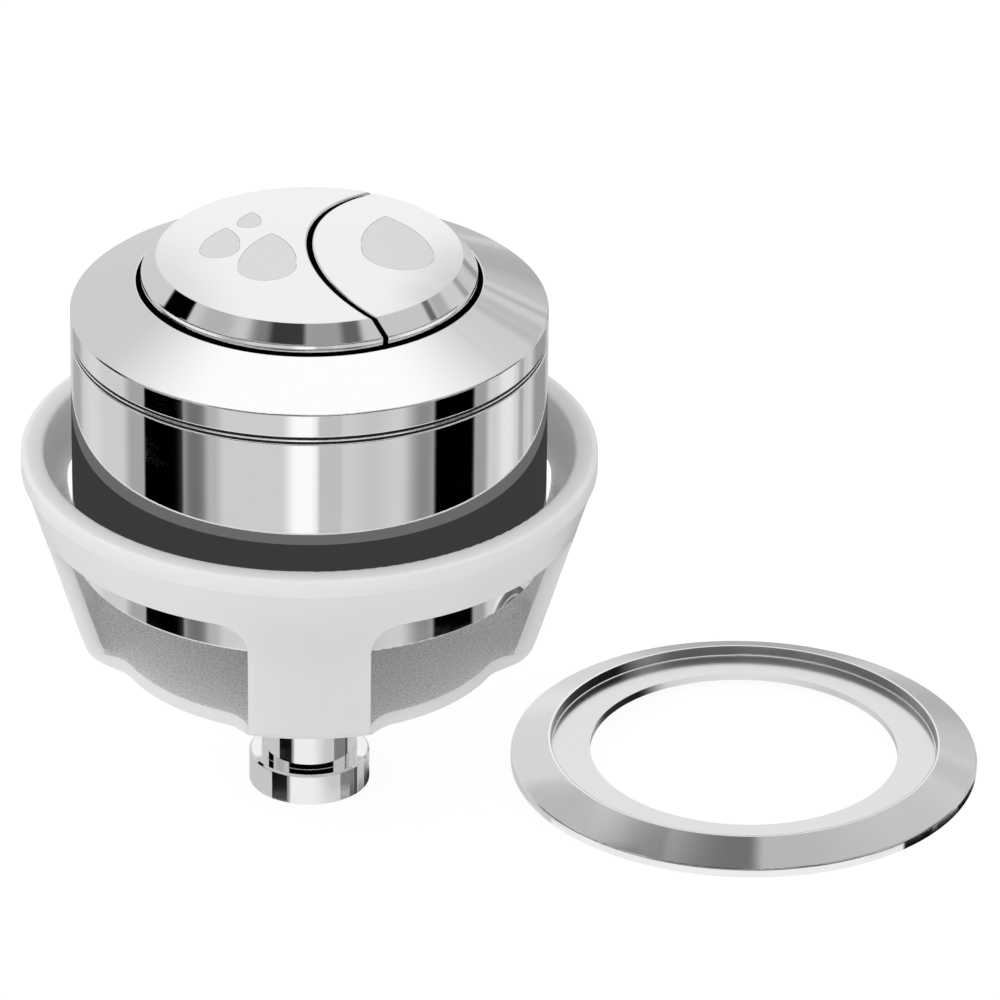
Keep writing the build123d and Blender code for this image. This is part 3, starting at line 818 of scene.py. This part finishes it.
def card_material(name, tone):
    """A plain card's material: light of its own and nothing else."""
    material, tree, surface = bare_material(name)
    light = {"Color": (1.0, 1.0, 1.0, 1.0), "Strength": tone ** EYE_POWER}
    tree.links.new(add_node(tree, "ShaderNodeEmission", light).outputs[0], surface)
    return material


def place_card(card):
    """Puts a card in the studio where only polished metal sees it."""
    for ray in ("camera", "diffuse", "shadow", "transmission", "volume_scatter"):
        setattr(card, "visible_" + ray, False)
    bpy.context.scene.collection.objects.link(card)


def set_floor(studio):
    """A plain pale floor that keeps a trace of the shadow and stays out of the chrome."""
    half = studio.floor_width / 2
    mesh = bpy.data.meshes.new("studio_floor")
    corners = [(x * half, y * half, 0.0) for x, y in ((-1, -1), (1, -1), (1, 1), (-1, 1))]
    mesh.from_pydata(corners, [], [(0, 1, 2, 3)])
    floor = bpy.data.objects.new("studio_floor", mesh)
    bpy.context.scene.collection.objects.link(floor)
    material, tree, surface = bare_material("floor_paper")
    grey = (PAPER_TONE, PAPER_TONE, PAPER_TONE, 1.0)
    paper = add_node(tree, "ShaderNodeBsdfDiffuse", {"Color": grey})
    light = {"Color": (1.0, 1.0, 1.0, 1.0), "Strength": PAPER_GLOW}
    glow = add_node(tree, "ShaderNodeEmission", light)
    path = add_node(tree, "ShaderNodeLightPath")
    share = calculate(tree, "MULTIPLY", path.outputs["Is Camera Ray"], PAPER_GLOW_SHARE)
    mixed = add_node(tree, "ShaderNodeMixShader", {0: share, 1: paper.outputs[0], 2: glow.outputs[0]})
    tree.links.new(mixed.outputs[0], surface)
    mesh.materials.append(material)
    floor.visible_glossy = False


def set_lamps(studio):
    """One large soft lamp from the upper left."""
    data = bpy.data.lights.new("key_lamp", "AREA")
    data.shape = "DISK"
    data.size = studio.lamp_width
    data.energy = studio.key_power
    lamp = bpy.data.objects.new("key_lamp", data)
    lamp.location = LAMP_PLACE
    lamp.rotation_euler = (-Vector(LAMP_PLACE)).to_track_quat("-Z", "Y").to_euler()
    lamp.visible_glossy = False
    lamp.visible_camera = False
    bpy.context.scene.collection.objects.link(lamp)


def panel_mask(tree, azimuth, elevation, panel):
    """1 inside a panel and 0 outside it, with soft edges."""
    turned = calculate(tree, "SUBTRACT", azimuth, panel.azimuth)
    aside = calculate(tree, "ABSOLUTE", calculate(tree, "WRAP", turned, 180.0, -180.0))
    inside = soft_step(tree, aside, panel.half_width + panel.edge, panel.half_width - panel.edge)
    rim = panel.rim or panel.edge
    above = soft_step(tree, elevation, panel.low - rim, panel.low + rim)
    below = soft_step(tree, elevation, panel.high + rim, panel.high - rim)
    return calculate(tree, "MULTIPLY", inside, calculate(tree, "MULTIPLY", above, below))


def tent_tone(tree, way):
    """How bright the tent and its panels are in a direction."""
    split = add_node(tree, "ShaderNodeSeparateXYZ", {"Vector": way})
    backwards = calculate(tree, "MULTIPLY", split.outputs["Y"], -1.0)
    azimuth = calculate(tree, "DEGREES", calculate(tree, "ARCTAN2", split.outputs["X"], backwards))
    elevation = calculate(tree, "DEGREES", calculate(tree, "ARCSINE", split.outputs["Z"]))
    tone = blend_values(tree, soft_step(tree, elevation, *ZENITH_RISE), BACK_TONE, ZENITH_TONE)
    billows = {"Vector": way, "Scale": 3.0, "Detail": 1.0, "Distortion": 1.5}
    cloud = soft_step(tree, add_node(tree, "ShaderNodeTexNoise", billows).outputs["Fac"], 0.4, 0.65)
    aside = soft_step(tree, azimuth, *CLOUD_TURN)
    beside = calculate(tree, "MULTIPLY", aside, soft_step(tree, elevation, *CLOUD_HEIGHT))
    cloudy = calculate(tree, "MULTIPLY", cloud, beside)
    tone = calculate(tree, "MULTIPLY_ADD", cloudy, -CLOUD_TONE, tone)
    for panel in PANELS:
        tone = blend_values(tree, panel_mask(tree, azimuth, elevation, panel), tone, panel.tone)
    return tone


def set_world(studio):
    """White to the camera, even light to plain surfaces, and a studio of panels to polished metal."""
    world = bpy.data.worlds.new("studio")
    bpy.context.scene.world = world
    world.use_nodes = True
    tree = world.node_tree
    tree.nodes.remove(tree.nodes["Background"])
    way = add_node(tree, "ShaderNodeTexCoord").outputs["Generated"]
    light = calculate(tree, "POWER", tent_tone(tree, way), EYE_POWER)
    tent = add_node(tree, "ShaderNodeBackground", {"Color": light})
    path = add_node(tree, "ShaderNodeLightPath").outputs
    clear = calculate(tree, "MAXIMUM", path["Is Camera Ray"], path["Is Transmission Ray"])
    white = blend_values(tree, clear, studio.ambient, 1.0)
    even = add_node(tree, "ShaderNodeBackground", {"Color": white})
    shaders = {0: path["Is Glossy Ray"], 1: even.outputs[0], 2: tent.outputs[0]}
    mixed = add_node(tree, "ShaderNodeMixShader", shaders)
    tree.links.new(mixed.outputs[0], tree.nodes["World Output"].inputs["Surface"])


def set_camera(studio):
    """The photograph's view: from the front, looking down, with a long lens."""
    data = bpy.data.cameras.new("camera")
    data.lens = studio.lens
    data.shift_x = studio.shift
    data.clip_start = 0.01
    camera = bpy.data.objects.new("camera", data)
    back = Vector((0.0, -math.cos(studio.elevation), math.sin(studio.elevation)))
    camera.location = Vector((0.0, 0.0, studio.aim_height)) + studio.distance * back
    camera.rotation_euler = (math.pi / 2 - studio.elevation, 0.0, 0.0)
    bpy.context.scene.collection.objects.link(camera)
    bpy.context.scene.camera = camera


class ACTUATOR_PT_finishes(bpy.types.Panel):
    """Lists the actuator's settings and the steps that dress it"""

    bl_idname = "ACTUATOR_PT_finishes"
    bl_label = "Cistern actuator"
    bl_space_type = "VIEW_3D"
    bl_region_type = "UI"
    bl_category = "Actuator"

    def draw(self, context):
        for group in settings():
            box = self.layout.box()
            for name in group.__annotations__:
                box.prop(group, name)
        for step in STEPS:
            self.layout.operator(step.bl_idname)


GROUPS = {
    "actuator_finish": ActuatorFinish,
    "actuator_thread": ActuatorThread,
    "actuator_studio": ActuatorStudio,
}
STEPS = (
    ACTUATOR_OT_polished_shells,
    ACTUATOR_OT_button_caps,
    ACTUATOR_OT_drop_marks,
    ACTUATOR_OT_mounting_cage,
    ACTUATOR_OT_guide_parts,
    ACTUATOR_OT_steel_parts,
    ACTUATOR_OT_return_springs,
    ACTUATOR_OT_spigot_thread,
    ACTUATOR_OT_seals,
    ACTUATOR_OT_trim_ring,
    ACTUATOR_OT_studio,
)


def register():
    """Registers the classes and hangs the settings on the scene."""
    for cls in (*GROUPS.values(), *STEPS, ACTUATOR_PT_finishes):
        bpy.utils.register_class(cls)
    for name, group in GROUPS.items():
        setattr(bpy.types.Scene, name, PointerProperty(type=group))


def unregister():
    """Takes back what register did."""
    for name in GROUPS:
        delattr(bpy.types.Scene, name)
    for cls in reversed((*GROUPS.values(), *STEPS, ACTUATOR_PT_finishes)):
        bpy.utils.unregister_class(cls)


def main():
    """Runs every step."""
    register()
    for step in STEPS:
        category, name = step.bl_idname.split(".")
        getattr(getattr(bpy.ops, category), name)()


if __name__ == "__main__":
    main()
